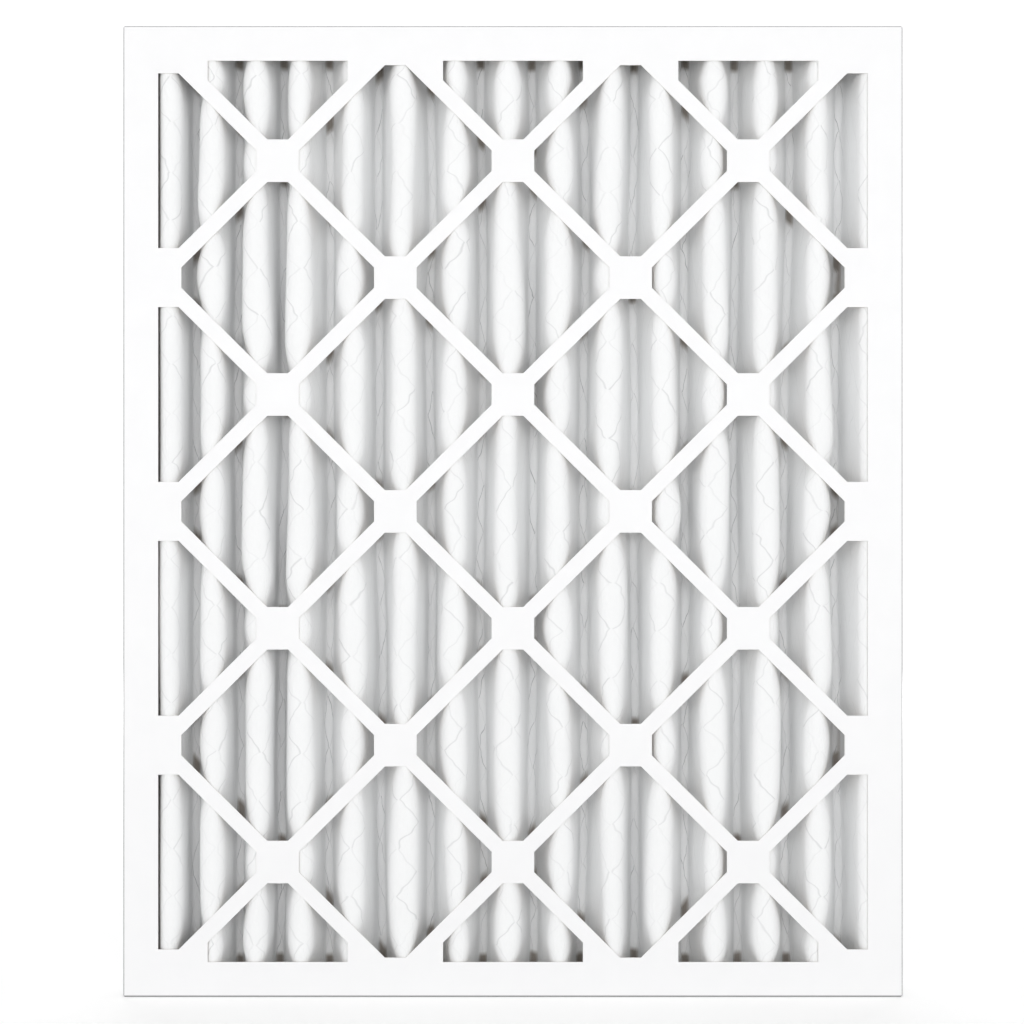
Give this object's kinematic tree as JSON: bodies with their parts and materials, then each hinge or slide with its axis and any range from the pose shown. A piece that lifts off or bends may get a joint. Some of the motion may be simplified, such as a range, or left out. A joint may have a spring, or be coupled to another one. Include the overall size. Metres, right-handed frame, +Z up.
{
  "type": "pleated panel air filter",
  "caption": "Pleated panel air filter: folded non-woven media on expanded metal, held between two nested trays of die-cut board with diagonal lattice faces",
  "frame": {"origin": "middle of the bottom edge, at the centre of the footprint", "axes": "+X across the width, +Y from the upstream face to the downstream face, +Z up along the height"},
  "size_m": [0.4984, 0.0446, 0.621],
  "materials": {
    "coated_board": "clay-coated white face",
    "filter_media": "non-woven, matt",
    "expanded_metal": "galvanised, dull",
    "adhesive": "set adhesive, satin"
  },
  "bodies": {
    "root": {"front_frame": "coated_board", "rear_frame": "coated_board", "pleated_media": "filter_media", "support_grid": "expanded_metal", "top_seal_bead": "adhesive", "bottom_seal_bead": "adhesive", "left_seal_bead": "adhesive", "right_seal_bead": "adhesive"}
  },
  "joints": []
}
